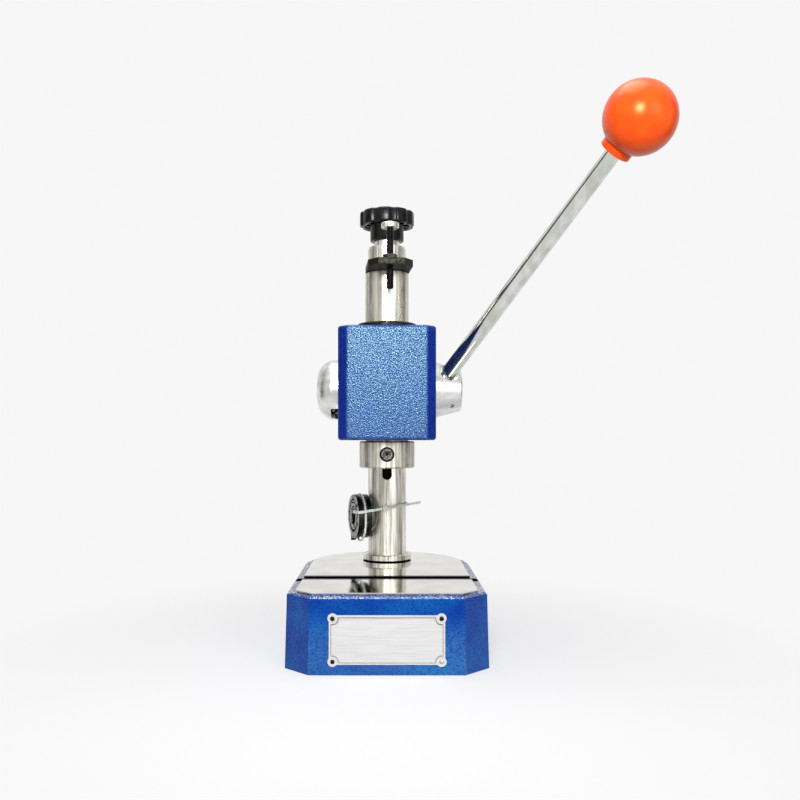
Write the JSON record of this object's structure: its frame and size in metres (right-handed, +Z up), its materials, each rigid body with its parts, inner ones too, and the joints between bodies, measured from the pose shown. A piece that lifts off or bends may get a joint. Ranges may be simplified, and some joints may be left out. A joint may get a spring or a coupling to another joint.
{
  "type": "lever hand press",
  "caption": "Manual lever hand press: a rack and pinion ram in a head that slides on a slotted round column, a ball-ended lever, a star knob for height and a T-slotted cast base.",
  "frame": {"origin": "on the axis of the ram and the die hole, in the plane of the base's foot", "axes": "+X to the lever side, +Y from the operator to the column, +Z up along the ram"},
  "size_m": [0.2744, 0.3352, 0.4187],
  "materials": {
    "blue_paint": "blue hammered enamel on cast iron, table machined bright",
    "steel": "ground steel",
    "black_steel": "black oxide steel",
    "spring_steel": "blackened spring strip",
    "bronze": "turned bearing bronze",
    "aluminium": "turned bright aluminium",
    "chrome": "polished chrome plate",
    "black_knob": "glossy black thermoset",
    "orange_knob": "glossy orange-red thermoset",
    "nylon": "natural white nylon"
  },
  "bodies": {
    "stand": {"base_casting": "blue_paint", "nameplate": "aluminium", "nameplate_rivets": "steel", "column": "steel", "column_flange": "steel", "column_foot_bolt": "black_steel", "foot_washer": "steel", "column_cap": "steel", "spare_spring_near": "spring_steel", "spare_spring_far": "spring_steel", "cable_tie_band": "nylon", "cable_tie_loop": "nylon"},
    "adjuster": {"elevating_screw": "steel", "screw_collar": "steel", "star_knob": "black_knob", "knob_set_screw": "black_steel"},
    "head": {"head_casting": "blue_paint", "elevating_nut": "bronze", "head_clamp_screws": "black_steel", "guide_ring": "black_steel", "pinion_bush_left": "bronze", "pinion_bush_right": "bronze", "spring_cap": "aluminium", "cap_lock_screw": "black_steel", "return_spring": "spring_steel"},
    "lever": {"pinion_shaft": "steel", "lever_hub": "aluminium", "hub_pin": "steel", "lever_bar": "chrome", "ball_knob": "orange_knob"},
    "ram": {"ram": "steel", "nose_ring": "steel", "tool_clamp_screw": "black_steel", "stop_plate": "black_steel", "stop_plate_screw": "black_steel", "stop_lock_nut": "black_steel"},
    "stop": {"stop_screw": "black_steel"}
  },
  "joints": [
    {"name": "head_slide", "type": "slide", "parent": "stand", "child": "head", "axis": [0, 0, 1], "range_m": [-0.04, 0.04]},
    {"name": "knob_turn", "type": "hinge", "parent": "stand", "child": "adjuster", "pos_m": [0, 0.106, 0.37], "axis": [0, 0, 1], "range_deg": [-4801, 4801]},
    {"name": "lever_turn", "type": "hinge", "parent": "head", "child": "lever", "pos_m": [0, 0.032, 0.2195], "axis": [1, 0, 0], "range_deg": [0, 93.8], "stiffness_Nm_per_rad": 0.5, "springref_deg": -143.24, "deforming": ["return_spring"]},
    {"name": "ram_slide", "type": "slide", "parent": "head", "child": "ram", "axis": [0, 0, -1], "range_m": [0, 0.0295]},
    {"name": "stop_slide", "type": "slide", "parent": "ram", "child": "stop", "axis": [0, 0, 1], "range_m": [0, 0.012]}
  ],
  "couplings": [
    {"joint": "knob_turn", "follows": "head_slide", "rad_per_m": 2094.4},
    {"joint": "ram_slide", "follows": "lever_turn", "m_per_rad": 0.018}
  ]
}
